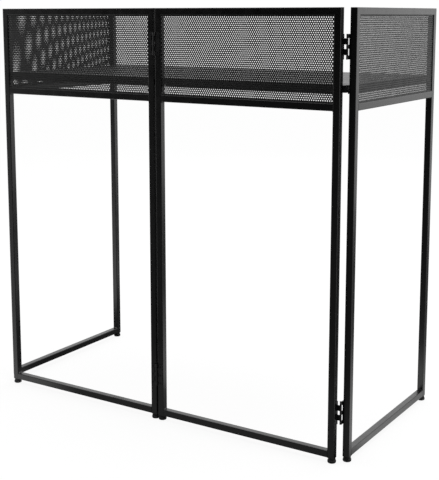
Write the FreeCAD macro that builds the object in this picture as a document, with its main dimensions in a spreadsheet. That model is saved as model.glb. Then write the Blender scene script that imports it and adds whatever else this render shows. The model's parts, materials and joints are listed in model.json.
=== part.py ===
"""Folding four-panel DJ booth: tube frames, perforated screens, butt hinges and a lift-out table.

Millimetres, +Z up. X runs across the front with x = 0 on the centre fold, the audience is at -Y,
and the origin lies on the floor under the middle of the booth.
"""

import FreeCAD, Part
import os
import re

# Knuckles of a hinge: short ones on one leaf and long ones on the other fill half its height each
SHORT_KNUCKLES = 3
LONG_KNUCKLES = 2

# Openings across and up a screen, coarse ones in place of its fine perforation
OPENING_COLUMNS = 12
OPENING_ROWS = 6

# Driving sizes. Each one is a cell of the sheet, under its own name.
SIZES = {
    # square steel tube that the panels are welded from
    "tube": 19,
    "tube_wall": 1.2,
    "tube_round": 2,
    # panels
    "front_width": 566,
    "side_width": 540,
    "post_length": 1171,
    "centre_gap": 5,
    "screen_height": 219.5,
    "screen_sheet": 0.6,
    "screen_inset": 2.5,
    "opening_radius": 11,
    # glide foot under each post: a collar on a wider pad
    "foot_height": 14,
    "foot_radius": 11.5,
    "foot_round": 3,
    "foot_shoulder": 2,
    "collar_radius": 10,
    "collar_height": 6,
    "stem_length": 20,
    "stem_play": 0.15,
    # butt hinge
    "leaf_height": 63.5,
    "leaf_reach": 19.5,
    "leaf_plate": 1.5,
    "barrel_radius": 2.75,
    "pin_radius": 1.5,
    "pin_play": 0.05,
    "pin_setback": 8.25,
    "knuckle_gap": 0.3,
    "notch_play": 5,
    "upper_hinge_drop": 97,
    "lower_hinge_rise": 136,
    # countersunk hinge screw
    "screw_row": 13,
    "screw_pitch": 24,
    "screw_length": 10,
    "shank_radius": 1.75,
    "head_radius": 3.2,
    "screw_play": 0.1,
    "recess_length": 3.4,
    "recess_width": 0.8,
    "recess_depth": 0.9,
    # table and the flat bars that carry it
    "table_thickness": 19,
    "table_depth": 544,
    "table_rise": 26.5,
    "table_play": 1,
    "edge_band": 1,
    "seat_gap": 0.2,
    "ledge_width": 20,
    "ledge_reach": 12,
    "ledge_plate": 4,
    # how far every cut runs past the faces that it goes through
    "overrun": 1,
}

# Places and sizes that follow from the driving ones.
PLACES = {
    "barrel_reach": "2 * barrel_radius",
    "corner_gap": "pin_setback + barrel_radius",
    "foot_proud": "foot_radius - tube / 2",
    "pad_height": "foot_height - collar_height",
    "booth_depth": "barrel_reach + tube + corner_gap + side_width + foot_proud",
    "front_face": "barrel_reach - booth_depth / 2",
    "front_back": "front_face + tube",
    "front_start": "centre_gap / 2",
    "corner_pin_x": "front_start + front_width + pin_setback",
    "corner_pin_y": "front_back + barrel_radius",
    "side_inner": "corner_pin_x + barrel_radius",
    "side_face": "side_inner + tube",
    "side_start": "front_back + corner_gap",
    "post_top": "foot_height + post_length",
    "screen_top": "post_top - tube",
    "screen_base": "screen_top - screen_height",
    "screen_rail_base": "screen_base - tube",
    "upper_hinge": "post_top - upper_hinge_drop",
    "lower_hinge": "lower_hinge_rise",
    "bore": "tube - 2 * tube_wall",
    "stem": "bore - 2 * stem_play",
    "notch": "barrel_radius + notch_play",
    "short_knuckle": f"leaf_height / {2 * SHORT_KNUCKLES}",
    "long_knuckle": f"leaf_height / {2 * LONG_KNUCKLES}",
    "knuckle_step": "short_knuckle + long_knuckle",
    "head_height": "head_radius - shank_radius",
    "hole_radius": "shank_radius + screw_play",
    "sink_radius": "head_radius + screw_play",
    "wall_cut": "tube_wall + 2 * overrun",
    "sheet_cut": "screen_sheet + 2 * overrun",
    "table_gap": "barrel_reach + table_play",
    "table_half": "side_inner - table_gap",
    "table_front": "front_back + table_gap",
    "table_base": "screen_base + table_rise",
    "seat": "table_base - seat_gap",
}

AXES = {
    "x": FreeCAD.Vector(1, 0, 0),
    "y": FreeCAD.Vector(0, 1, 0),
    "z": FreeCAD.Vector(0, 0, 1),
}
HINGES = ("upper_hinge", "lower_hinge")
SCREW_STEPS = (-1, 0, 1)

doc = FreeCAD.newDocument("dj_booth")
sheet = doc.addObject("Spreadsheet::Sheet", "sizes")
for row, (alias, value) in enumerate(SIZES.items(), start=1):
    sheet.set(f"A{row}", alias)
    sheet.set(f"B{row}", str(value))
    sheet.setAlias(f"B{row}", alias)
doc.recompute()

nodes = {}


def in_cells(text):
    """Write an expression of named sizes and places in terms of the sheet's cells."""
    def swap(match):
        word = match.group(0)
        if word in PLACES:
            return "(" + in_cells(PLACES[word]) + ")"
        return f"sizes.{word}"
    return re.sub(r"[a-z_]+", swap, text)


def bind(item, **sizes):
    """Tie an object's properties to expressions of the sheet's cells."""
    for name, text in sizes.items():
        item.setExpression(name, in_cells(text))
    return item


def place(item, spot, axis="z", angle=0):
    """Turn an object about an axis and tie its position to expressions."""
    item.Placement = FreeCAD.Placement(FreeCAD.Vector(), FreeCAD.Rotation(AXES[axis], angle))
    for letter, text in zip("xyz", spot):
        item.setExpression(f"Placement.Base.{letter}", in_cells(text))
    return item


def block(name, size, spot, axis="z", angle=0):
    """A rectangular block, from its lowest corner."""
    item = doc.addObject("Part::Box", name)
    bind(item, Length=size[0], Width=size[1], Height=size[2])
    return place(item, spot, axis, angle)


def rod(name, radius, length, spot, axis="z", angle=0):
    """A round rod that rises along its own Z from its spot."""
    item = doc.addObject("Part::Cylinder", name)
    bind(item, Radius=radius, Height=length)
    return place(item, spot, axis, angle)


def taper(name, low_radius, high_radius, length, spot, axis="z", angle=0):
    """A cone between two radii that rises along its own Z from its spot."""
    item = doc.addObject("Part::Cone", name)
    bind(item, Radius1=low_radius, Radius2=high_radius, Height=length)
    return place(item, spot, axis, angle)


def fuse(name, items):
    """Several overlapping or touching solids as one."""
    item = doc.addObject("Part::MultiFuse", name)
    item.Shapes = items
    return item


def cut(name, base, tools):
    """A solid less one or more tools."""
    item = doc.addObject("Part::Cut", name)
    item.Base = base
    item.Tool = tools[0] if len(tools) == 1 else fuse(name + "_tools", tools)
    return item


def copy_at(name, source, spot, axis="z", angle=0):
    """A copy of a finished piece at another place."""
    item = doc.addObject("App::Link", name)
    item.LinkedObject = source
    return place(item, spot, axis, angle)


def group(name, items):
    """Separate solids of one kind, kept together."""
    item = doc.addObject("Part::Compound", name)
    item.Links = items
    return item


def edges_along(shape, axis):
    """Names of a shape's straight edges that run along an axis."""
    names = []
    for index, edge in enumerate(shape.Edges, start=1):
        if abs(edge.tangentAt(edge.FirstParameter).dot(AXES[axis])) > 0.99:
            names.append(f"Edge{index}")
    return names


def end_edge(shape, end):
    """Name of the edge that bounds the lowest or the highest face of a turned shape."""
    levels = [edge.BoundBox.ZMax + edge.BoundBox.ZMin for edge in shape.Edges]
    wanted = {"low": min, "high": max}[end](levels)
    return f"Edge{levels.index(wanted) + 1}"


def tube(name, length, along, spot):
    """A square tube with rounded corners and open ends, from its lowest corner."""
    body = doc.addObject("PartDesign::Body", name)
    outer = {letter: "tube" for letter in "xyz"}
    inner = {letter: "bore" for letter in "xyz"}
    start = {letter: "tube_wall" for letter in "xyz"}
    outer[along] = inner[along] = length
    start[along] = "0"
    stock = body.newObject("PartDesign::AdditiveBox", name + "_stock")
    bind(stock, Length=outer["x"], Width=outer["y"], Height=outer["z"])
    doc.recompute()
    corners = body.newObject("PartDesign::Fillet", name + "_corners")
    corners.Base = (stock, edges_along(stock.Shape, along))
    bind(corners, Radius="tube_round")
    doc.recompute()
    hollow = body.newObject("PartDesign::SubtractiveBox", name + "_hollow")
    bind(hollow, Length=inner["x"], Width=inner["y"], Height=inner["z"])
    place(hollow, (start["x"], start["y"], start["z"]))
    place(body, spot)
    return body


def mitre(name, spot, angle):
    """The block that cuts a tube's end at 45 degrees, from one end of the cut's line."""
    return block(name, ("2 * tube", "tube + 2 * overrun", "tube"), spot, "y", angle)


def screw_holes(name, across, face):
    """Holes through one wall of a post for the screws of both its hinges."""
    start = {"outer": "-overrun", "inner": "tube - tube_wall - overrun"}[face]
    holes = []
    for hinge in HINGES:
        for step in SCREW_STEPS:
            spot = (across, start, f"{hinge} + {step} * screw_pitch")
            holes.append(rod(f"{name}_{hinge}_hole", "hole_radius", "wall_cut", spot, "x", -90))
    return holes


def screen_openings(name, span):
    """Round holes through a screen in staggered rows: each odd row has one less, half a step in."""
    holes = []
    for row in range(OPENING_ROWS):
        shift = row % 2
        level = f"screen_base + screen_height * {2 * row + 1} / {2 * OPENING_ROWS}"
        for column in range(OPENING_COLUMNS - shift):
            across = f"tube + ({span}) * {2 * column + 1 + shift} / {2 * OPENING_COLUMNS}"
            spot = (across, "screen_inset - overrun", level)
            holes.append(rod(f"{name}_opening", "opening_radius", "sheet_cut", spot, "x", -90))
    return holes


def panel(prefix, width, posts, spot, angle):
    """All pieces of one panel, made flat and then turned into place.

    In the panel's own frame x runs from its near end, y from its outer face inwards.
    posts gives the near and the far post: its name, and its row of hinge screws or None.
    """
    low = "-overrun"
    above = "post_top + overrun"
    below = "post_top - tube - overrun"
    near_out = "-overrun"
    near_in = "tube + overrun"
    far_out = f"{width} + overrun"
    far_in = f"{width} - tube - overrun"
    span = f"{width} - 2 * tube"
    far_post = f"{width} - tube"

    def finish(part, item):
        nodes[f"{prefix}_{part}"] = place(item, spot, "z", angle)

    ends = (
        (posts[0], "0", mitre(f"{prefix}_near_mitre", (near_out, low, above), 45)),
        (posts[1], far_post, mitre(f"{prefix}_far_mitre", (far_in, low, below), -45)),
    )
    for (part, row_of_screws), start, slope in ends:
        name = f"{prefix}_{part}"
        stock = tube(name + "_tube", "post_length", "z", (start, "0", "foot_height"))
        holes = screw_holes(name, *row_of_screws) if row_of_screws else []
        finish(part, cut(name, stock, [slope] + holes))

    name = f"{prefix}_top_rail"
    stock = tube(name + "_tube", width, "x", ("0", "0", "screen_top"))
    slopes = [
        mitre(name + "_near_mitre", (near_in, low, below), 225),
        mitre(name + "_far_mitre", (far_out, low, above), 135),
    ]
    finish("top_rail", cut(name, stock, slopes))
    for part, level in (("screen_rail", "screen_rail_base"), ("bottom_rail", "foot_height")):
        finish(part, group(f"{prefix}_{part}", [
            tube(f"{prefix}_{part}_tube", span, "x", ("tube", "0", level))]))

    name = f"{prefix}_screen"
    sheet_size = (span, "screen_sheet", "screen_height")
    plain = block(name + "_sheet", sheet_size, ("tube", "screen_inset", "screen_base"))
    finish("screen", cut(name, plain, screen_openings(name, span)))

    ledge_size = (span, "ledge_width", "ledge_plate")
    ledge_spot = ("tube", "tube + ledge_reach - ledge_width", "seat - ledge_plate")
    finish("ledge", group(f"{prefix}_ledge", [
        block(f"{prefix}_ledge_bar", ledge_size, ledge_spot)]))

    finish("feet", group(f"{prefix}_feet", [
        copy_at(f"{prefix}_near_foot", foot, ("tube / 2", "tube / 2", "0")),
        copy_at(f"{prefix}_far_foot", foot, (f"{width} - tube / 2", "tube / 2", "0"))]))


def rounded(body, base, name, edge, radius):
    """A fillet on one edge of a body's last feature."""
    item = body.newObject("PartDesign::Fillet", name)
    item.Base = (base, [edge])
    bind(item, Radius=radius)
    doc.recompute()
    return item


def make_foot():
    """Round glide: a pad with rounded edges, a collar, and a square stem that plugs into the tube."""
    body = doc.addObject("PartDesign::Body", "foot")
    pad = body.newObject("PartDesign::AdditiveCylinder", "foot_pad")
    bind(pad, Radius="foot_radius", Height="pad_height")
    doc.recompute()
    rim = rounded(body, pad, "foot_rim", end_edge(pad.Shape, "low"), "foot_round")
    rounded(body, rim, "foot_shoulder", end_edge(rim.Shape, "high"), "foot_shoulder")
    collar = body.newObject("PartDesign::AdditiveCylinder", "foot_collar")
    bind(collar, Radius="collar_radius", Height="foot_height - pad_height / 2")
    place(collar, ("0", "0", "pad_height / 2"))
    plug = body.newObject("PartDesign::AdditiveBox", "foot_plug")
    bind(plug, Length="stem", Width="stem", Height="stem_length")
    place(plug, ("-stem / 2", "-stem / 2", "foot_height"))
    return body


def make_leaf(name, count, first, knuckle):
    """Hinge leaf: x from the pin along the leaf, y from the back of the plate, z = 0 at mid height.

    It has count knuckles as high as knuckle, and the lowest one starts first above its low end.
    """
    low = "-leaf_height / 2"
    pieces = [block(name + "_plate", ("leaf_reach - notch", "leaf_plate", "leaf_height"),
                    ("notch", "0", low))]
    tools = [rod(name + "_bore", "pin_radius + pin_play", "leaf_height + 2 * overrun",
                 ("0", "barrel_radius", f"{low} - overrun"))]
    tall = f"{knuckle} - knuckle_gap"
    for index in range(count):
        level = f"{low} + {first} + {index} * knuckle_step + knuckle_gap / 2"
        pieces.append(rod(name + "_knuckle", "barrel_radius", tall,
                          ("0", "barrel_radius", level)))
        pieces.append(block(name + "_root", ("notch", "leaf_plate", tall),
                            ("0", "0", level)))
    for step in SCREW_STEPS:
        level = f"{step} * screw_pitch"
        tools.append(rod(name + "_hole", "hole_radius", "leaf_plate + 2 * overrun",
                         ("screw_row", "-overrun", level), "x", -90))
        tools.append(taper(name + "_sink", "hole_radius", "sink_radius", "head_height",
                           ("screw_row", "leaf_plate - head_height", level), "x", -90))
    return cut(name, fuse(name + "_blank", pieces), tools)


def make_screw():
    """Countersunk screw with a cross recess: its head's face is at z = 0 and its shank points down."""
    head = taper("screw_head", "shank_radius", "head_radius", "head_height",
                 ("0", "0", "-head_height"))
    shank = rod("screw_shank", "shank_radius", "screw_length - head_height",
                ("0", "0", "-screw_length"))
    deep = "recess_depth + overrun"
    recess = [
        block("screw_slot", ("recess_length", "recess_width", deep),
              ("-recess_length / 2", "-recess_width / 2", "-recess_depth")),
        block("screw_cross", ("recess_width", "recess_length", deep),
              ("-recess_width / 2", "-recess_length / 2", "-recess_depth")),
    ]
    return cut("screw", fuse("screw_blank", [head, shank]), recess)


def hinge_pieces(name, source, spot, axis="z", angle=0):
    """One piece of the upper and of the lower hinge on a fold line."""
    copies = []
    for hinge in HINGES:
        copies.append(copy_at(f"{name}_{hinge}", source, spot + (hinge,), axis, angle))
    return group(name, copies)


def leaf_screws(name, spot, axis, angle):
    """The screws of the upper and of the lower leaf on one post."""
    copies = []
    for hinge in HINGES:
        for step in SCREW_STEPS:
            level = f"{hinge} + {step} * screw_pitch"
            copies.append(copy_at(f"{name}_{hinge}_screw", screw, spot + (level,), axis, angle))
    return copies


def mirrored(name, source):
    """The left-hand twin of a right-hand piece."""
    item = doc.addObject("Part::Mirroring", name)
    item.Source = source
    item.Normal = AXES["x"]
    return item


# Pieces that repeat, each made once
foot = make_foot()
leaf_of_three = make_leaf("leaf_of_three", SHORT_KNUCKLES, "0", "short_knuckle")
leaf_of_two = make_leaf("leaf_of_two", LONG_KNUCKLES, "short_knuckle", "long_knuckle")
hinge_pin = rod("hinge_pin", "pin_radius", "leaf_height", ("0", "0", "-leaf_height / 2"))
pin = group("pin", [hinge_pin])
screw = make_screw()

# Right half of the frame
centre_row = ("screw_row - front_start", "outer")
corner_row = ("front_width + pin_setback - screw_row", "inner")
side_row = ("screw_row - pin_setback", "inner")
front_posts = (("centre_post", centre_row), ("outer_post", corner_row))
side_posts = (("front_post", side_row), ("rear_post", None))
panel("front_right", "front_width", front_posts, ("front_start", "front_face", "0"), 0)
panel("side_right", "side_width", side_posts, ("side_face", "side_start", "0"), 90)

# Hinges: on the front faces at the centre fold, on the inner faces at the corners
centre_spot = ("0", "front_face")
corner_spot = ("corner_pin_x", "front_back")
side_spot = ("side_inner", "corner_pin_y")
nodes["right_corner_hinge_front_leaves"] = hinge_pieces(
    "right_corner_hinge_front_leaves", leaf_of_two, corner_spot, "y", 180)
nodes["right_corner_hinge_side_leaves"] = hinge_pieces(
    "right_corner_hinge_side_leaves", leaf_of_three, side_spot, "z", 90)
nodes["right_corner_hinge_pins"] = hinge_pieces(
    "right_corner_hinge_pins", pin, ("corner_pin_x", "corner_pin_y"))
nodes["front_right_hinge_screws"] = group(
    "front_right_hinge_screws",
    leaf_screws("centre", ("screw_row", "front_face - leaf_plate"), "x", 90)
    + leaf_screws("corner", ("corner_pin_x - screw_row", "front_back + leaf_plate"), "x", -90))
nodes["side_right_hinge_screws"] = group(
    "side_right_hinge_screws",
    leaf_screws("side", ("side_inner - leaf_plate", "corner_pin_y + screw_row"), "y", -90))

# Left half of the frame
for right_name in list(nodes):
    left_name = right_name.replace("right", "left")
    nodes[left_name] = mirrored(left_name, nodes[right_name])

nodes["centre_hinge_left_leaves"] = hinge_pieces(
    "centre_hinge_left_leaves", leaf_of_three, centre_spot, "z", 180)
nodes["centre_hinge_right_leaves"] = hinge_pieces(
    "centre_hinge_right_leaves", leaf_of_two, centre_spot, "x", 180)
nodes["centre_hinge_pins"] = hinge_pieces(
    "centre_hinge_pins", pin, ("0", "front_face - barrel_radius"))

# Table: a board with a strip of edge band round it
board_size = ("2 * table_half - 2 * edge_band", "table_depth - 2 * edge_band", "table_thickness")
board_spot = ("edge_band - table_half", "table_front + edge_band", "table_base")
band_size = ("2 * table_half", "table_depth", "table_thickness")
hollow_size = board_size[:2] + ("table_thickness + 2 * overrun",)
hollow_spot = board_spot[:2] + ("table_base - overrun",)
nodes["table_board"] = block("table_board", board_size, board_spot)
nodes["table_edge_band"] = cut(
    "table_edge_band",
    block("band_outer", band_size, ("-table_half", "table_front", "table_base")),
    [block("band_hollow", hollow_size, hollow_spot)])

doc.recompute()

# Every object has to be sound before anything is written
for item in doc.Objects:
    if {"Invalid", "Error"} & set(item.State):
        raise RuntimeError(f"{item.Name} failed: {item.State}")
for node, item in nodes.items():
    if item.Shape.isNull() or not item.Shape.isValid() or not item.Shape.Solids:
        raise RuntimeError(f"{node} has no sound solid")

os.makedirs("parts", exist_ok=True)
for node, item in nodes.items():
    item.Label = node
    item.Shape.exportStep(os.path.join("parts", node + ".step"))
    box = item.Shape.BoundBox
    print(f"{node}: {len(item.Shape.Solids)} solids, {item.Shape.Volume:.0f} mm3,"
          f" x {box.XMin:.1f} {box.XMax:.1f}, y {box.YMin:.1f} {box.YMax:.1f},"
          f" z {box.ZMin:.1f} {box.ZMax:.1f}")
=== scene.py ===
"""Dress the folding booth: perforated screens, weld beads, finishes, studio and camera.

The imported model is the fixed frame. Its tubes, hinges, screws, feet and table keep their shapes and
get finishes. The four screen sheets, whose openings are coarse there, are replaced by sheets with
fine round holes, and each panel gets the weld beads of its tube joints. Lengths are in metres, and
angles are in degrees.
"""

import json
import logging
import math
from dataclasses import dataclass, field
from enum import Enum

import bpy
import numpy as np
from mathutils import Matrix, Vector


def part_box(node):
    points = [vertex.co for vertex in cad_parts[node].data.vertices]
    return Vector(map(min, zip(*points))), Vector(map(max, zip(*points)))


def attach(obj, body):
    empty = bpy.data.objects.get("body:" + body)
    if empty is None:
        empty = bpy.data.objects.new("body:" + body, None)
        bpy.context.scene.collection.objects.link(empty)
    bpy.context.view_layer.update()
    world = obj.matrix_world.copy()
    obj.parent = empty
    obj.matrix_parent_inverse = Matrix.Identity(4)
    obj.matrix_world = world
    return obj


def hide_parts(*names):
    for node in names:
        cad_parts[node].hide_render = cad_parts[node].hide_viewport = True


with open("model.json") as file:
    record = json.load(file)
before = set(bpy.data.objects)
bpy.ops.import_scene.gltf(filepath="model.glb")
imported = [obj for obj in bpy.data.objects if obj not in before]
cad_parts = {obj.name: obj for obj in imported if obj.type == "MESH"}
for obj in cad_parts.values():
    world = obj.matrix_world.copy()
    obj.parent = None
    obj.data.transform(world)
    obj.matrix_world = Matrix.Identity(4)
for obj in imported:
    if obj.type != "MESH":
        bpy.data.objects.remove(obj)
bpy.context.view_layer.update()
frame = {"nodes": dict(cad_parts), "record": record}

LOG = logging.getLogger("booth")
MM = 0.001

Colour = tuple[float, float, float]
Point = tuple[float, float, float]
Span = tuple[float, float]
Feed = bpy.types.NodeSocket | float | Colour

# The whole range of a mask, a share or a noise.
FULL: Span = (0.0, 1.0)


class Slot(str, Enum):
    """The record's material slots."""

    FRAME = "frame_steel"
    SCREEN = "screen_steel"
    HINGE = "hinge_steel"
    SCREW = "screw_steel"
    PIN = "pin_steel"
    TABLE = "table_laminate"
    BAND = "edge_band"
    FOOT = "foot_plastic"


class Facing(Enum):
    """Which way a panel's width runs, as the column of that axis."""

    FRONT = 0
    SIDE = 1

    @property
    def depth(self) -> int:
        """Column of the axis through the panel's thickness."""
        return 1 - self.value


class NodeBench:
    """Adds nodes to one shader tree and wires them."""

    # Where a Mix node keeps its colour sockets: the share and the two colours, and the mixed colour.
    MIX_INPUTS = (0, 6, 7)
    MIX_RESULT = 2

    def __init__(self, tree: bpy.types.NodeTree) -> None:
        """Keep the tree that the nodes go into.

        Args:
            tree: a material's, the world's or a group's node tree.
        """
        self.tree = tree

    def add(self, kind: str, **settings: object) -> bpy.types.Node:
        """Add one node and set its properties.

        Args:
            kind: the node's Blender type.
            settings: properties of the node, by name.

        Returns:
            The new node.
        """
        node = self.tree.nodes.new(kind)
        for name, value in settings.items():
            setattr(node, name, value)
        return node

    def feed(self, socket: bpy.types.NodeSocket, value: Feed) -> None:
        """Wire a socket to another socket, or set it to a plain value.

        Args:
            socket: the input to feed.
            value: an output socket, a number, a colour or a point.
        """
        if isinstance(value, bpy.types.NodeSocket):
            self.tree.links.new(value, socket)
        elif isinstance(value, tuple) and len(socket.default_value) == len(value) + 1:
            socket.default_value = (*value, 1.0)
        else:
            socket.default_value = value

    def math(self, operation: str, *values: Feed) -> bpy.types.NodeSocket:
        """Work out one number from others.

        Args:
            operation: the Math node's operation.
            values: its operands, in order.

        Returns:
            The result's socket.
        """
        node = self.add("ShaderNodeMath", operation=operation)
        for socket, value in zip(node.inputs, values):
            self.feed(socket, value)
        return node.outputs[0]

    def remap(
        self, value: Feed, source: Span, target: Span, smooth: bool = False
    ) -> bpy.types.NodeSocket:
        """Carry a number from one range to another, clamped to the ends.

        Args:
            value: the number.
            source: the range that it comes from.
            target: the range that it goes to.
            smooth: ease in and out instead of a straight line.

        Returns:
            The remapped number's socket.
        """
        style = "SMOOTHSTEP" if smooth else "LINEAR"
        node = self.add("ShaderNodeMapRange", interpolation_type=style, clamp=True)
        for socket, number in zip(node.inputs, (value, *source, *target)):
            self.feed(socket, number)
        return node.outputs[0]

    def blend(self, share: Feed, first: Feed, second: Feed) -> bpy.types.NodeSocket:
        """Mix two colours.

        Args:
            share: how much of the second colour shows, from 0 to 1.
            first: the colour at 0.
            second: the colour at 1.

        Returns:
            The mixed colour's socket.
        """
        node = self.add("ShaderNodeMix", data_type="RGBA")
        for number, value in zip(self.MIX_INPUTS, (share, first, second)):
            self.feed(node.inputs[number], value)
        return node.outputs[self.MIX_RESULT]

    def distance(self, place: Feed, middle: Point) -> bpy.types.NodeSocket:
        """How far a point lies from another.

        Args:
            place: the point.
            middle: the other point.

        Returns:
            The distance's socket.
        """
        node = self.add("ShaderNodeVectorMath", operation="DISTANCE")
        self.feed(node.inputs[0], place)
        self.feed(node.inputs[1], middle)
        return node.outputs["Value"]

    def noise(self, place: Feed, scale: Feed, detail: float = 2.0) -> bpy.types.NodeSocket:
        """Soft noise between 0 and 1.

        Args:
            place: the point where it is read.
            scale: features per metre.
            detail: octaves of finer noise.

        Returns:
            The noise value's socket.
        """
        node = self.add("ShaderNodeTexNoise")
        self.feed(node.inputs["Vector"], place)
        self.feed(node.inputs["Scale"], scale)
        self.feed(node.inputs["Detail"], detail)
        return node.outputs["Fac"]


class EffectGroup:
    """A shader node group with named inputs and outputs, built once and placed in several trees."""

    def __init__(self, name: str, inputs: dict[str, str], outputs: list[str]) -> None:
        """Make the group's tree and its sockets.

        Args:
            name: the group's name.
            inputs: the kind of each input, Vector or Float, by name.
            outputs: the names of its number outputs.
        """
        self.tree = bpy.data.node_groups.new(name, "ShaderNodeTree")
        for label, kind in inputs.items():
            self.tree.interface.new_socket(name=label, in_out="INPUT", socket_type=f"NodeSocket{kind}")
        for label in outputs:
            self.tree.interface.new_socket(name=label, in_out="OUTPUT", socket_type="NodeSocketFloat")
        self.bench = NodeBench(self.tree)
        self.inside = self.bench.add("NodeGroupInput").outputs
        self.result = self.bench.add("NodeGroupOutput").inputs

    def place(self, bench: NodeBench, **feeds: Feed) -> bpy.types.bpy_prop_collection:
        """Put the group into a material or the world.

        Args:
            bench: the bench of the material or the world.
            feeds: what feeds each input, by name.

        Returns:
            The placed group's output sockets.
        """
        node = bench.add("ShaderNodeGroup", node_tree=self.tree)
        for label, value in feeds.items():
            bench.feed(node.inputs[label], value)
        return node.outputs


class Effects:
    """The effects that several finishes share."""

    def __init__(self) -> None:
        """Build every group once."""
        self.orange_peel = self.make_orange_peel()
        self.edge_rub = self.make_edge_rub()
        self.settled_dust = self.make_settled_dust()

    @staticmethod
    def make_orange_peel() -> EffectGroup:
        """Sprayed or moulded skin: a fine dimpled height and a slow mottle of the gloss.

        Returns:
            The group: Place and Grain in, Height and Mottle out.
        """
        slow_share = 0.035
        mottle_octaves = 4.0
        mottle_span = (0.3, 0.7)
        group = EffectGroup("orange_peel", {"Place": "Vector", "Grain": "Float"}, ["Height", "Mottle"])
        bench = group.bench
        height = bench.noise(group.inside["Place"], group.inside["Grain"])
        slow = bench.math("MULTIPLY", group.inside["Grain"], slow_share)
        mottle = bench.noise(group.inside["Place"], slow, mottle_octaves)
        bench.feed(group.result["Height"], height)
        bench.feed(group.result["Mottle"], bench.remap(mottle, mottle_span, FULL))
        return group

    @staticmethod
    def make_edge_rub() -> EffectGroup:
        """Thin coat on rounded edges: one where the normal leans away from every axis, broken by noise.

        Returns:
            The group: Facing and Place in, Mask out.
        """
        flat_to_round = (0.97, 0.75)
        patches_per_metre = 60.0
        patch_octaves = 5.0
        patch_span = (0.42, 0.62)
        group = EffectGroup("edge_rub", {"Facing": "Vector", "Place": "Vector"}, ["Mask"])
        bench = group.bench
        parts = bench.add("ShaderNodeSeparateXYZ")
        bench.feed(parts.inputs[0], group.inside["Facing"])
        sizes = [bench.math("ABSOLUTE", part) for part in parts.outputs]
        largest = bench.math("MAXIMUM", bench.math("MAXIMUM", sizes[0], sizes[1]), sizes[2])
        lean = bench.remap(largest, flat_to_round, FULL, smooth=True)
        cloud = bench.noise(group.inside["Place"], patches_per_metre, patch_octaves)
        patches = bench.remap(cloud, patch_span, FULL)
        bench.feed(group.result["Mask"], bench.math("MULTIPLY", lean, patches))
        return group

    @staticmethod
    def make_settled_dust() -> EffectGroup:
        """Dust on faces that look up: the upward part of the normal times a patchy noise.

        Returns:
            The group: Facing and Place in, Mask out.
        """
        tilted_to_level = (0.6, 1.0)
        patches_per_metre = 14.0
        patch_octaves = 6.0
        patch_span = (0.35, 0.7)
        thin_to_thick = (0.2, 1.0)
        group = EffectGroup("settled_dust", {"Facing": "Vector", "Place": "Vector"}, ["Mask"])
        bench = group.bench
        parts = bench.add("ShaderNodeSeparateXYZ")
        bench.feed(parts.inputs[0], group.inside["Facing"])
        upward = bench.remap(parts.outputs["Z"], tilted_to_level, FULL, smooth=True)
        cloud = bench.noise(group.inside["Place"], patches_per_metre, patch_octaves)
        patches = bench.remap(cloud, patch_span, thin_to_thick)
        bench.feed(group.result["Mask"], bench.math("MULTIPLY", upward, patches))
        return group


class Skin:
    """A new material with its bench, its shader and the coordinates that its patterns read."""

    def __init__(self, name: str) -> None:
        """Make the material.

        Args:
            name: the material's name.
        """
        self.material = bpy.data.materials.new(name)
        self.material.use_nodes = True
        self.bench = NodeBench(self.material.node_tree)
        self.shader = self.material.node_tree.nodes["Principled BSDF"]
        places = self.bench.add("ShaderNodeTexCoord").outputs
        self.place = places["Object"]
        self.facing = places["Normal"]

    def set(self, **values: Feed) -> None:
        """Feed the shader's sockets.

        Args:
            values: what feeds each socket, with the spaces of its name as underscores.
        """
        for label, value in values.items():
            self.bench.feed(self.shader.inputs[label.replace("_", " ")], value)

    def bump(self, height: Feed, depth: float) -> None:
        """Raise the surface in the shading.

        Args:
            height: the height, from 0 to 1.
            depth: the real height of 1, in metres.
        """
        node = self.bench.add("ShaderNodeBump")
        self.bench.feed(node.inputs["Distance"], depth)
        self.bench.feed(node.inputs["Height"], height)
        self.set(Normal=node.outputs["Normal"])

    def stretched(self, stretch: Point) -> bpy.types.NodeSocket:
        """Object coordinates squeezed along some axes, for grain and brush lines.

        Args:
            stretch: the factor on each axis.

        Returns:
            The scaled place's socket.
        """
        node = self.bench.add("ShaderNodeMapping")
        self.bench.feed(node.inputs["Vector"], self.place)
        node.inputs["Scale"].default_value = stretch
        return node.outputs["Vector"]


@dataclass(frozen=True)
class PowderCoat:
    """Baked powder coat on steel: near black, dimpled, with thin edges and a little dust."""

    name: str
    deep: Colour
    pale: Colour
    rubbed: Colour = (0.055, 0.055, 0.057)
    dust: Colour = (0.12, 0.115, 0.11)
    gloss: Span = (0.22, 0.30)
    rub_share: float = 0.25
    dust_share: float = 0.08
    grain: float = 900.0
    depth: float = 0.02 * MM
    index: float = 1.6

    def material(self, effects: Effects) -> bpy.types.Material:
        """Build the finish.

        Args:
            effects: the shared groups.

        Returns:
            The material.
        """
        skin = Skin(self.name)
        bench = skin.bench
        peel = effects.orange_peel.place(bench, Place=skin.place, Grain=self.grain)
        rub = effects.edge_rub.place(bench, Facing=skin.facing, Place=skin.place)
        dust = effects.settled_dust.place(bench, Facing=skin.facing, Place=skin.place)
        rubbing = bench.math("MULTIPLY", rub["Mask"], self.rub_share)
        dusting = bench.math("MULTIPLY", dust["Mask"], self.dust_share)
        coat = bench.blend(peel["Mottle"], self.deep, self.pale)
        worn = bench.blend(rubbing, coat, self.rubbed)
        gloss = bench.remap(peel["Mottle"], FULL, self.gloss)
        skin.set(Base_Color=bench.blend(dusting, worn, self.dust), IOR=self.index)
        skin.set(Roughness=bench.math("ADD", gloss, dusting))
        skin.bump(peel["Height"], self.depth)
        return skin.material


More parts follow.
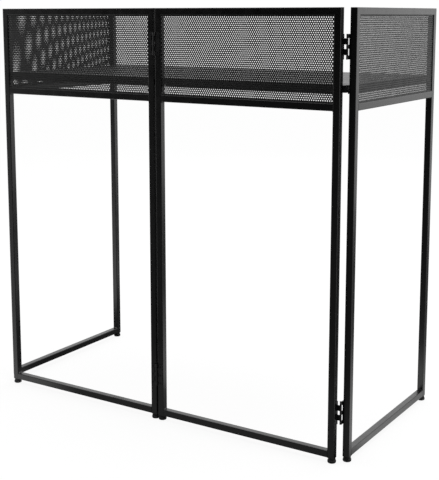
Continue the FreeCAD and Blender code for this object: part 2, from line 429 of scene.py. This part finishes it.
@dataclass(frozen=True)
class BlackOxide:
    """Blackened steel screws: dark metal with a fine tooled sheen and paler rubbed edges."""

    name: str
    deep: Colour = (0.030, 0.030, 0.032)
    pale: Colour = (0.060, 0.060, 0.063)
    rubbed: Colour = (0.16, 0.16, 0.165)
    gloss: Span = (0.34, 0.50)
    rub_share: float = 0.5
    grain: float = 2200.0
    depth: float = 0.01 * MM
    metal: float = 0.85

    def material(self, effects: Effects) -> bpy.types.Material:
        """Build the finish.

        Args:
            effects: the shared groups.

        Returns:
            The material.
        """
        skin = Skin(self.name)
        bench = skin.bench
        peel = effects.orange_peel.place(bench, Place=skin.place, Grain=self.grain)
        rub = effects.edge_rub.place(bench, Facing=skin.facing, Place=skin.place)
        rubbing = bench.math("MULTIPLY", rub["Mask"], self.rub_share)
        coat = bench.blend(peel["Mottle"], self.deep, self.pale)
        skin.set(Base_Color=bench.blend(rubbing, coat, self.rubbed), Metallic=self.metal)
        skin.set(Roughness=bench.remap(peel["Mottle"], FULL, self.gloss))
        skin.bump(peel["Height"], self.depth)
        return skin.material


@dataclass(frozen=True)
class DrawnSteel:
    """Bright drawn wire of the hinge pins: brush lines along the pin."""

    name: str
    deep: Colour = (0.24, 0.24, 0.25)
    pale: Colour = (0.40, 0.40, 0.41)
    gloss: Span = (0.25, 0.42)
    lines: float = 3000.0
    line_span: Span = (0.3, 0.7)
    stretch: Point = (1.0, 1.0, 0.02)
    depth: float = 0.006 * MM
    metal: float = 1.0

    def material(self, effects: Effects) -> bpy.types.Material:
        """Build the finish.

        Args:
            effects: the shared groups.

        Returns:
            The material.
        """
        skin = Skin(self.name)
        bench = skin.bench
        brush = effects.orange_peel.place(bench, Place=skin.stretched(self.stretch), Grain=self.lines)
        skin.set(Base_Color=bench.blend(brush["Height"], self.deep, self.pale), Metallic=self.metal)
        skin.set(Roughness=bench.remap(brush["Height"], self.line_span, self.gloss))
        skin.bump(brush["Height"], self.depth)
        return skin.material


@dataclass(frozen=True)
class TableLaminate:
    """Black melamine board: a pebbled press texture, faint long grain and some dust."""

    name: str
    deep: Colour = (0.022, 0.022, 0.023)
    pale: Colour = (0.036, 0.036, 0.037)
    dust: Colour = (0.15, 0.145, 0.14)
    gloss: Span = (0.42, 0.54)
    dust_share: float = 0.10
    pebble: float = 1400.0
    grain: float = 260.0
    grain_share: float = 0.4
    stretch: Point = (0.06, 1.0, 1.0)
    depth: float = 0.05 * MM
    index: float = 1.5

    def material(self, effects: Effects) -> bpy.types.Material:
        """Build the finish.

        Args:
            effects: the shared groups.

        Returns:
            The material.
        """
        skin = Skin(self.name)
        bench = skin.bench
        peel = effects.orange_peel.place(bench, Place=skin.place, Grain=self.pebble)
        grain = effects.orange_peel.place(bench, Place=skin.stretched(self.stretch), Grain=self.grain)
        dust = effects.settled_dust.place(bench, Facing=skin.facing, Place=skin.place)
        dusting = bench.math("MULTIPLY", dust["Mask"], self.dust_share)
        board = bench.blend(grain["Height"], self.deep, self.pale)
        skin.set(Base_Color=bench.blend(dusting, board, self.dust), IOR=self.index)
        skin.set(Roughness=bench.remap(peel["Mottle"], FULL, self.gloss))
        faint_grain = bench.math("MULTIPLY", grain["Height"], self.grain_share)
        skin.bump(bench.math("ADD", peel["Height"], faint_grain), self.depth)
        return skin.material


@dataclass(frozen=True)
class MouldedPlastic:
    """Black plastic: a spark-textured mould grain with scuffed edges."""

    name: str
    deep: Colour = (0.012, 0.012, 0.012)
    pale: Colour = (0.022, 0.022, 0.022)
    scuffed: Colour = (0.06, 0.06, 0.058)
    gloss: Span = (0.45, 0.62)
    scuff_share: float = 0.3
    grain: float = 1800.0
    depth: float = 0.04 * MM
    index: float = 1.46

    def material(self, effects: Effects) -> bpy.types.Material:
        """Build the finish.

        Args:
            effects: the shared groups.

        Returns:
            The material.
        """
        skin = Skin(self.name)
        bench = skin.bench
        peel = effects.orange_peel.place(bench, Place=skin.place, Grain=self.grain)
        rub = effects.edge_rub.place(bench, Facing=skin.facing, Place=skin.place)
        scuffs = bench.math("MULTIPLY", rub["Mask"], self.scuff_share)
        body = bench.blend(peel["Mottle"], self.deep, self.pale)
        skin.set(Base_Color=bench.blend(scuffs, body, self.scuffed), IOR=self.index)
        skin.set(Roughness=bench.remap(peel["Mottle"], FULL, self.gloss))
        skin.bump(peel["Height"], self.depth)
        return skin.material


FINISHES = {
    Slot.FRAME: PowderCoat(
        "frame powder coat",
        deep=(0.002, 0.002, 0.0022),
        pale=(0.004, 0.004, 0.0042),
    ),
    Slot.SCREEN: PowderCoat(
        "screen powder coat",
        deep=(0.006, 0.006, 0.0063),
        pale=(0.009, 0.009, 0.0093),
        gloss=(0.50, 0.60),
        rub_share=0.0,
        grain=1100.0,
    ),
    Slot.HINGE: PowderCoat(
        "hinge powder coat",
        deep=(0.008, 0.008, 0.0085),
        pale=(0.014, 0.014, 0.0145),
        gloss=(0.28, 0.38),
        grain=1300.0,
    ),
    Slot.SCREW: BlackOxide("blackened screws"),
    Slot.PIN: DrawnSteel("drawn pin steel"),
    Slot.TABLE: TableLaminate("table laminate"),
    Slot.BAND: MouldedPlastic(
        "edge band plastic",
        deep=(0.020, 0.020, 0.021),
        pale=(0.032, 0.032, 0.033),
    ),
    Slot.FOOT: MouldedPlastic("foot plastic"),
}


@dataclass
class Shell:
    """A surface as arrays: points, and faces of four and of three corners."""

    points: np.ndarray
    quads: np.ndarray
    triangles: np.ndarray

    def volume(self) -> float:
        """Signed volume of a closed surface: a sixth of the sum of its triangles' triple products.

        Returns:
            The volume, above zero where the faces point outwards.
        """
        halves = (self.triangles, self.quads[:, [0, 1, 2]], self.quads[:, [0, 2, 3]])
        corners = self.points[np.concatenate(halves)]
        normals = np.cross(corners[:, 1], corners[:, 2])
        return float(np.einsum("ij,ij->", corners[:, 0], normals) / 6)

    def outward(self) -> "Shell":
        """The same shell with every face turned outwards."""
        if self.volume() < 0:
            return Shell(self.points, self.quads[:, ::-1], self.triangles[:, ::-1])
        return self

    def into_object(self, name: str, smooth: bool) -> bpy.types.Object:
        """Put the arrays into a mesh object at the origin.

        Args:
            name: the object's name.
            smooth: shade the faces smoothly.

        Returns:
            The linked object.
        """
        mesh = bpy.data.meshes.new(name)
        counts = np.repeat([4, 3], [len(self.quads), len(self.triangles)])
        corners = np.concatenate([self.quads.ravel(), self.triangles.ravel()])
        mesh.vertices.add(len(self.points))
        mesh.vertices.foreach_set("co", self.points.astype(np.float32).ravel())
        mesh.loops.add(len(corners))
        mesh.loops.foreach_set("vertex_index", corners.astype(np.int32))
        mesh.polygons.add(len(counts))
        mesh.polygons.foreach_set("loop_start", (np.cumsum(counts) - counts).astype(np.int32))
        mesh.polygons.foreach_set("use_smooth", np.full(len(counts), smooth))
        mesh.update(calc_edges=True)
        thing = bpy.data.objects.new(name, mesh)
        bpy.context.scene.collection.objects.link(thing)
        return thing


@dataclass
class PerforatedScreen:
    """One screen sheet, punched with round holes in staggered rows.

    The sheet is laid in bricks, each with a hole in its middle. Every other row is shifted by half a
    brick and ends in plain half bricks, and a plain strip runs below the first row and above the last
    one. The bricks lie on a lattice of upright lines, half a brick apart, and level lines, one between
    every two rows.
    """

    # Strips of the sheet that have no holes: one at its foot and one at its head.
    STRIPS = 2

    panel: str
    facing: Facing
    pitch: float = 6.35 * MM
    row_pitch: float = 5.5 * MM
    hole: float = 3.3 * MM
    foot_strip: float = 3.5 * MM
    head_strip: float = 2.5 * MM
    rim: int = 12
    rim_start: float = -165.0

    def lines(self, low: np.ndarray, high: np.ndarray) -> tuple[np.ndarray, np.ndarray]:
        """Where the lattice lines run, with as many bricks as fit the sheet best.

        Args:
            low: the sheet's lowest corner.
            high: the sheet's highest corner.

        Returns:
            The upright lines' places across the sheet, and the level lines' heights.
        """
        along = self.facing.value
        foot, head = low[2] + self.foot_strip, high[2] - self.head_strip
        columns = round((high[along] - low[along]) / self.pitch)
        rows = round((head - foot) / self.row_pitch)
        across = np.linspace(low[along], high[along], 2 * columns + 1)
        upward = np.concatenate([[low[2]], np.linspace(foot, head, rows + 1), [high[2]]])
        return across, upward

    @staticmethod
    def bricks(line: int, rows: int) -> tuple[np.ndarray, np.ndarray]:
        """Which bricks are whole: all but the last one of a shifted row, which sticks out by half.

        Args:
            line: points on one level line.
            rows: rows of bricks.

        Returns:
            The numbers of the level line under each brick and of the upright line through its middle.
        """
        row, step = np.meshgrid(np.arange(1, rows + 1), np.arange(line // 2), indexing="ij")
        middle = 2 * step + 2 - row % 2
        whole = middle < line - 1
        return row[whole], middle[whole]

    def rims(self, centres: np.ndarray) -> np.ndarray:
        """The points round every hole: equal steps on a circle about its centre.

        The first two of them face the brick's corner at its bottom left.

        Args:
            centres: the holes' centres, across and up.

        Returns:
            The points, hole after hole.
        """
        turn = np.radians(self.rim_start + 360 / self.rim * np.arange(self.rim))
        circle = np.stack([np.cos(turn), np.sin(turn)], axis=1) * self.hole / 2
        return (centres[:, None] + circle[None]).reshape(-1, 2)

    @staticmethod
    def rings(outer: np.ndarray, inner: np.ndarray) -> tuple[np.ndarray, np.ndarray]:
        """The faces between each brick's outline and the rim of its hole.

        A brick has six outer points, its corners and the middles of its top and bottom, and a rim has
        two points for each of them. A triangle joins an outer point to its own two rim points, and a
        quad joins two neighbouring outer points to the rim points between them.

        Args:
            outer: the outer points of each brick, by number.
            inner: the rim points of each hole, by number.

        Returns:
            The triangles and the quads.
        """
        first, second = inner[:, 0::2], inner[:, 1::2]
        fans = np.stack([outer, second, first], axis=-1).reshape(-1, 3)
        following = np.roll(outer, -1, axis=1)
        bands = np.stack([outer, following, np.roll(first, -1, axis=1), second], axis=-1).reshape(-1, 4)
        return fans, bands

    @staticmethod
    def blanks(line: int, rows: int) -> np.ndarray:
        """The quads without holes: half bricks at both ends of the shifted rows, and both strips.

        Args:
            line: points on one level line.
            rows: rows of bricks.

        Returns:
            The quads.
        """
        shifted = np.arange(2, rows + 1, 2) * line
        strips = np.arange(line - 1)
        plain = np.concatenate([shifted, shifted + line - 2, strips, strips + (rows + 1) * line])
        return np.stack([plain, plain + 1, plain + line + 1, plain + line], axis=1)

    def shell(self, low: np.ndarray, high: np.ndarray) -> Shell:
        """The punched sheet between two corners, as a closed shell.

        One face is laid on the lattice with its holes. The same face is laid again, turned over, one
        sheet thickness away, and walls join the two along the rims and the border.

        Args:
            low: the sheet's lowest corner.
            high: the sheet's highest corner.

        Returns:
            The shell.
        """
        across, upward = self.lines(low, high)
        line, rows = len(across), len(upward) - 1 - self.STRIPS
        lattice = np.stack(np.meshgrid(across, upward), axis=-1).reshape(-1, 2)
        row, middle = self.bricks(line, rows)
        base = row * line + middle
        bottom = np.stack([base - 1, base, base + 1], axis=1)
        outer = np.concatenate([bottom, bottom[:, ::-1] + line], axis=1)
        centres = np.stack([across[middle], (upward[row] + upward[row + 1]) / 2], axis=1)
        flat = np.concatenate([lattice, self.rims(centres)])
        count = len(flat)
        inner = np.arange(len(lattice), count).reshape(-1, self.rim)

        fans, bands = self.rings(outer, inner)
        face = np.concatenate([bands, self.blanks(line, rows)])
        round_holes = np.stack([np.roll(inner, -1, axis=1), inner], axis=-1).reshape(-1, 2)
        loops = np.concatenate([self.border(line, rows + self.STRIPS), round_holes])
        walls = np.concatenate([loops, loops[:, ::-1] + count], axis=1)

        along, through = self.facing.value, self.facing.depth
        points = np.empty((2 * count, 3))
        points[:, along] = np.tile(flat[:, 0], 2)
        points[:, 2] = np.tile(flat[:, 1], 2)
        points[:, through] = np.repeat([low[through], high[through]], count)
        quads = np.concatenate([face[:, ::-1], face + count, walls])
        triangles = np.concatenate([fans[:, ::-1], fans + count])
        return Shell(points, quads, triangles).outward()

    @staticmethod
    def border(line: int, rows: int) -> np.ndarray:
        """The edges round the sheet, as pairs of lattice points in order.

        Args:
            line: points on one level line.
            rows: rows of bricks and strips.

        Returns:
            The pairs.
        """
        bottom = np.arange(line - 1)
        right = np.arange(1, rows + 1) * line - 1
        top = rows * line + np.arange(line - 1, 0, -1)
        left = np.arange(rows, 0, -1) * line
        loop = np.concatenate([bottom, right, top, left])
        return np.stack([loop, np.roll(loop, -1)], axis=1)

    def build(self) -> bpy.types.Object:
        """Make the sheet in place of the coarse one and let it ride on its panel.

        Returns:
            The sheet's object.
        """
        node = f"{self.panel}_screen"
        low, high = (np.array(corner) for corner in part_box(node))
        sheet = self.shell(low, high).into_object(f"{self.panel}_perforated_screen", smooth=False)
        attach(sheet, self.panel)
        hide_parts(node)
        return sheet


@dataclass
class WeldBeads:
    """The small fillet welds in the inner corners of one panel's tube joints."""

    panel: str
    facing: Facing
    posts: tuple[str, str]
    leg: float = 3.0 * MM
    bulge: float = 1.25
    ripple: float = 0.10
    ripple_pitch: float = 2.4 * MM
    end_taper: float = 2.5 * MM
    end_share: float = 0.25
    sunk: float = 0.25 * MM
    edge: float = 1.0 * MM
    stations: int = 41
    arc_points: int = 8

    def corners(self) -> np.ndarray:
        """Every inner corner: where it lies across and up the panel, and which way it opens.

        Returns:
            Rows of across, up, direction across and direction up.
        """
        along = self.facing.value
        low_post, high_post = (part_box(f"{self.panel}_{post}") for post in self.posts)
        sides = ((low_post[1][along], 1.0), (high_post[0][along], -1.0))
        rails = {name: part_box(f"{self.panel}_{name}_rail") for name in ("top", "screen", "bottom")}
        faces = ((rails["bottom"][1][2], 1.0), (rails["screen"][0][2], -1.0),
                 (rails["screen"][1][2], 1.0), (rails["top"][0][2], -1.0))
        return np.array([(x, z, right, up) for x, right in sides for z, up in faces])

    def shell(self) -> Shell:
        """All beads of the panel as closed shells.

        A bead's profile is a superellipse between the two tube faces, with its legs along them, closed
        by a root point inside the metal. The legs swell and shrink as a rippled line along the joint,
        and taper to a share of their size at both ends, which flat fans of triangles close.

        Returns:
            The shells in one set of arrays.
        """
        along, through = self.facing.value, self.facing.depth
        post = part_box(f"{self.panel}_{self.posts[0]}")
        start, stop = post[0][through] + self.edge, post[1][through] - self.edge
        depth = np.linspace(start, stop, self.stations)
        travel = depth - start
        swell = 1 + self.ripple * np.abs(np.sin(np.pi * travel / self.ripple_pitch))
        room = np.minimum(travel, stop - depth) / self.end_taper
        legs = self.leg * swell * np.clip(self.end_share + room, self.end_share, 1.0)

        turn = np.linspace(0, np.pi / 2, self.arc_points)
        across = np.append(np.cos(turn) ** (2 / self.bulge), 0.0)
        upward = np.append(np.sin(turn) ** (2 / self.bulge), 0.0)
        corners = self.corners()[:, :, None, None]
        profile = len(across)
        points = np.empty((len(corners), self.stations, profile, 3))
        points[..., along] = corners[:, 0] + corners[:, 2] * (legs[:, None] * across - self.sunk)
        points[..., 2] = corners[:, 1] + corners[:, 3] * (legs[:, None] * upward - self.sunk)
        points[..., through] = depth[:, None]
        return self.skinned(points)

    def skinned(self, points: np.ndarray) -> Shell:
        """Faces for a stack of closed profiles, bead by bead.

        Args:
            points: beads by stations by profile points by three.

        Returns:
            The shells, each turned outwards.
        """
        stations, profile = points.shape[1:3]
        size = stations * profile
        index = np.arange(size).reshape(stations, profile)
        following = np.roll(index, -1, axis=1)
        quads = np.stack([index[:-1], following[:-1], following[1:], index[1:]], axis=-1).reshape(-1, 4)
        spoke = np.arange(1, profile - 1)
        fan = np.stack([np.zeros_like(spoke), spoke, spoke + 1], axis=1)
        triangles = np.concatenate([fan[:, ::-1], fan + (stations - 1) * profile])
        shells = [Shell(bead.reshape(-1, 3), quads, triangles).outward() for bead in points]
        return Shell(
            np.concatenate([shell.points for shell in shells]),
            np.concatenate([shell.quads + number * size for number, shell in enumerate(shells)]),
            np.concatenate([shell.triangles + number * size for number, shell in enumerate(shells)]),
        )

    def build(self) -> bpy.types.Object:
        """Make the beads and let them ride on their panel.

        Returns:
            The beads' object.
        """
        beads = self.shell().into_object(f"{self.panel}_weld_beads", smooth=True)
        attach(beads, self.panel)
        return beads


@dataclass
class Panel:
    """One panel of the booth, with its posts at the low and the high end of its width."""

    name: str
    facing: Facing
    posts: tuple[str, str]

    def build(self) -> dict[bpy.types.Object, Slot]:
        """Make the panel's new pieces.

        Returns:
            The slot of each new piece.
        """
        screen = PerforatedScreen(self.name, self.facing).build()
        beads = WeldBeads(self.name, self.facing, self.posts).build()
        return {screen: Slot.SCREEN, beads: Slot.FRAME}


@dataclass
class Booth:
    """The whole booth: four panels, the hinges between them and the table."""

    panels: list[Panel]
    materials: dict[Slot, bpy.types.Material] = field(default_factory=dict)

    def mix_finishes(self) -> None:
        """Build the material of every slot."""
        effects = Effects()
        self.materials = {slot: finish.material(effects) for slot, finish in FINISHES.items()}

    def dress(self, piece: bpy.types.Object, slot: Slot) -> None:
        """Give a piece its finish.

        Args:
            piece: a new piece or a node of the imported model.
            slot: the slot whose finish it wears.
        """
        if not piece.material_slots:
            piece.data.materials.append(self.materials[slot])
        for place in piece.material_slots:
            place.material = self.materials[slot]
        LOG.info("%s: %s", piece.name, slot.value)

    def build(self) -> None:
        """Build the panels' new pieces and dress everything."""
        self.mix_finishes()
        for panel in self.panels:
            for piece, slot in panel.build().items():
                self.dress(piece, slot)
        for part in frame["record"]["subparts"]:
            self.dress(frame["nodes"][part["node"]], Slot(part["material_slot"]))


@dataclass(frozen=True)
class Softbox:
    """An oblong area lamp that looks at a point."""

    name: str
    place: Point
    aim: Point
    width: float
    height: float
    glow: float

    def build(self) -> None:
        """Hang the lamp: its power is its glow times pi times its area."""
        lamp = bpy.data.lights.new(self.name, "AREA")
        lamp.shape = "RECTANGLE"
        lamp.size = self.width
        lamp.size_y = self.height
        lamp.energy = self.glow * math.pi * self.width * self.height
        thing = bpy.data.objects.new(self.name, lamp)
        thing.location = self.place
        look = Vector(self.aim) - Vector(self.place)
        thing.rotation_euler = look.to_track_quat("-Z", "Y").to_euler()
        thing.visible_camera = False
        bpy.context.scene.collection.objects.link(thing)


SOFTBOXES = (
    Softbox(
        "overhead softbox",
        place=(0.2, 0.5, 3.2),
        aim=(0.2, 0.5, 0.0),
        width=3.0,
        height=3.0,
        glow=1.4,
    ),
    Softbox(
        "back softbox",
        place=(-2.0, 4.6, 2.1),
        aim=(0.0, 0.0, 0.4),
        width=4.0,
        height=2.5,
        glow=0.2,
    ),
    Softbox(
        "right softbox",
        place=(2.7, 4.6, 1.5),
        aim=(0.6, 0.0, 1.0),
        width=3.0,
        height=1.6,
        glow=0.3,
    ),
)


@dataclass
class Studio:
    """The white studio: a room that is darker in front, a pale floor, soft lamps and the camera.

    The room is dark up to one angle from the middle of its dark side, and white from another angle on.
    In reflections the floor is as bright as the room beyond it. Near the booth a painted pool of light
    keeps it at least at the painted light level, and its spots of painted shade, each a middle and a
    reach, fade out along their reach.
    """

    # Tilt of a level camera, because an unturned one looks straight down.
    LEVEL_TILT = 90.0

    floor_size: float = 60.0
    floor_drop: float = 0.2 * MM
    floor_glow: float = 0.90
    floor_colour: Colour = (0.20, 0.20, 0.20)
    backdrop_colour: Colour = (1.0, 1.0, 1.0)
    booth_middle: Point = (0.0, 0.0, 0.0)
    # A painted pool of light on the floor by the booth, seen only in reflections, fading out between
    # these distances.
    painted_light_reach: Span = (0.5, 1.0)
    painted_light_level: float = 0.2
    # Spots of painted shade on the floor, seen only in reflections: each a middle and a reach.
    patches: tuple[tuple[Point, Span], ...] = (
        ((1.35, 1.75, 0.0), (0.9, 2.0)),
        ((-0.35, 0.35, 0.0), (0.5, 0.72)),
    )
    painted_shade_level: float = 0.02
    ambient: float = 0.55
    dark_level: float = 0.0
    dark_side: Point = (0.2, -0.98, 0.0)
    dark_from: float = 51.0
    dark_until: float = 72.0
    image_height: int = 480
    focal_pixels: float = 1028.4
    lens_shift: float = -0.15
    camera_place: Point = (1.6904, -2.5965, 1.1650)
    camera_yaw: float = 32.538
    camera_pitch: float = 8.443

    def build(self) -> None:
        """Set up the world, the floor, the lamps and the camera."""
        bpy.context.scene.view_settings.view_transform = "Standard"
        dark_front = self.make_dark_front()
        self.build_world(dark_front)
        self.build_floor(dark_front)
        for softbox in SOFTBOXES:
            softbox.build()
        self.build_camera()

    def make_dark_front(self) -> EffectGroup:
        """How bright the room is in a direction: one all round, and dark about the front.

        The level falls smoothly as the cosine of the angle between the direction and the middle of
        the dark side rises.

        Returns:
            The group: Way in, Level out.
        """
        group = EffectGroup("dark_front", {"Way": "Vector"}, ["Level"])
        bench = group.bench
        unit = bench.add("ShaderNodeVectorMath", operation="NORMALIZE")
        bench.feed(unit.inputs[0], group.inside["Way"])
        facing = bench.add("ShaderNodeVectorMath", operation="DOT_PRODUCT")
        bench.feed(facing.inputs[0], unit.outputs[0])
        bench.feed(facing.inputs[1], self.dark_side)
        limits = (math.cos(math.radians(self.dark_until)), math.cos(math.radians(self.dark_from)))
        level = bench.remap(facing.outputs["Value"], limits, (1.0, self.dark_level), smooth=True)
        bench.feed(group.result["Level"], level)
        return group

    @staticmethod
    def ray_masks(bench: NodeBench) -> tuple[bpy.types.NodeSocket, bpy.types.NodeSocket]:
        """Which rays see the white background.

        Args:
            bench: the bench of the world or the floor.

        Returns:
            One for camera rays, and one for reflected and refracted rays.
        """
        rays = bench.add("ShaderNodeLightPath").outputs
        mirrored = bench.math("MAXIMUM", rays["Is Glossy Ray"], rays["Is Transmission Ray"])
        return rays["Is Camera Ray"], mirrored

    def build_world(self, dark_front: EffectGroup) -> None:
        """White for the camera, white with a darker front for reflections, and soft ambient light.

        Args:
            dark_front: the group that darkens the front of the room.
        """
        world = bpy.data.worlds.new("studio")
        world.use_nodes = True
        bpy.context.scene.world = world
        bench = NodeBench(world.node_tree)
        backdrop = world.node_tree.nodes["Background"]
        camera, mirrored = self.ray_masks(bench)
        room = dark_front.place(bench, Way=bench.add("ShaderNodeTexCoord").outputs["Generated"])
        level = bench.remap(mirrored, FULL, (self.ambient, 1.0))
        lit = bench.math("MULTIPLY", room["Level"], level)
        bench.feed(backdrop.inputs["Strength"], bench.math("MAXIMUM", lit, camera))
        bench.feed(backdrop.inputs["Color"], self.backdrop_colour)

    def floor_level(self, bench: NodeBench, dark_front: EffectGroup) -> bpy.types.NodeSocket:
        """How bright the floor is in reflections: as the room, with a painted pool of light by the
        booth and painted shade spots.

        Args:
            bench: the floor's bench.
            dark_front: the group that darkens the front of the room.

        Returns:
            The level's socket.
        """
        place = bench.add("ShaderNodeTexCoord").outputs["Object"]
        room = dark_front.place(bench, Way=place)
        from_booth = bench.distance(place, self.booth_middle)
        # Painted light: by the booth the floor is kept at least this bright in reflections.
        near = bench.remap(from_booth, self.painted_light_reach, (self.painted_light_level, 0.0), smooth=True)
        level = bench.math("MAXIMUM", room["Level"], near)
        # Painted shade: each spot darkens the floor in reflections, down to the painted shade level at
        # its middle.
        for middle, reach in self.patches:
            from_painted_shade = bench.distance(place, middle)
            painted_shade = bench.remap(from_painted_shade, reach, (self.painted_shade_level, 1.0), smooth=True)
            level = bench.math("MULTIPLY", level, painted_shade)
        return level

    def build_floor(self, dark_front: EffectGroup) -> None:
        """A pale floor that glows to white for the camera and keeps the booth's shadow.

        Args:
            dark_front: the group that darkens the front of the room.
        """
        half = self.floor_size / 2
        square = np.array([(-1, -1), (1, -1), (1, 1), (-1, 1)]) * half
        points = np.column_stack([square, np.full(len(square), -self.floor_drop)])
        sheet = Shell(points, np.array([[0, 1, 2, 3]]), np.empty((0, 3), int))
        floor = sheet.into_object("floor", smooth=False)
        material = bpy.data.materials.new("pale floor")
        material.use_nodes = True
        bench = NodeBench(material.node_tree)
        material.node_tree.nodes.remove(material.node_tree.nodes["Principled BSDF"])
        camera, mirrored = self.ray_masks(bench)
        level = self.floor_level(bench, dark_front)
        # For reflections the glow carries the floor's painted light and painted shade.
        shown = bench.math("MAXIMUM", camera, bench.math("MULTIPLY", mirrored, level))
        glow = bench.add("ShaderNodeEmission")
        bench.feed(glow.inputs["Strength"], bench.math("MULTIPLY", shown, self.floor_glow))
        paint = bench.add("ShaderNodeBsdfDiffuse")
        bench.feed(paint.inputs["Color"], self.floor_colour)
        both = bench.add("ShaderNodeAddShader")
        bench.feed(both.inputs[0], glow.outputs[0])
        bench.feed(both.inputs[1], paint.outputs[0])
        bench.feed(material.node_tree.nodes["Material Output"].inputs["Surface"], both.outputs[0])
        floor.data.materials.append(material)

    def build_camera(self) -> None:
        """Set up the camera.

        It looks along +Y, turned to the left by its yaw and down by its pitch, and its lens is shifted
        down. The sensor's width spans the longer side of the picture, which is its height.
        """
        lens = bpy.data.cameras.new("camera")
        lens.lens = self.focal_pixels * lens.sensor_width / self.image_height
        lens.shift_y = self.lens_shift
        camera = bpy.data.objects.new("camera", lens)
        camera.location = self.camera_place
        tilt = math.radians(self.LEVEL_TILT - self.camera_pitch)
        camera.rotation_euler = (tilt, 0.0, math.radians(self.camera_yaw))
        bpy.context.scene.collection.objects.link(camera)
        bpy.context.scene.camera = camera


def main() -> None:
    """Build the booth and its studio."""
    logging.basicConfig(level=logging.INFO, format="%(name)s %(message)s")
    panels = [
        Panel("front_left", Facing.FRONT, ("outer_post", "centre_post")),
        Panel("front_right", Facing.FRONT, ("centre_post", "outer_post")),
        Panel("side_left", Facing.SIDE, ("front_post", "rear_post")),
        Panel("side_right", Facing.SIDE, ("front_post", "rear_post")),
    ]
    Booth(panels).build()
    Studio().build()


if __name__ == "__main__":
    main()
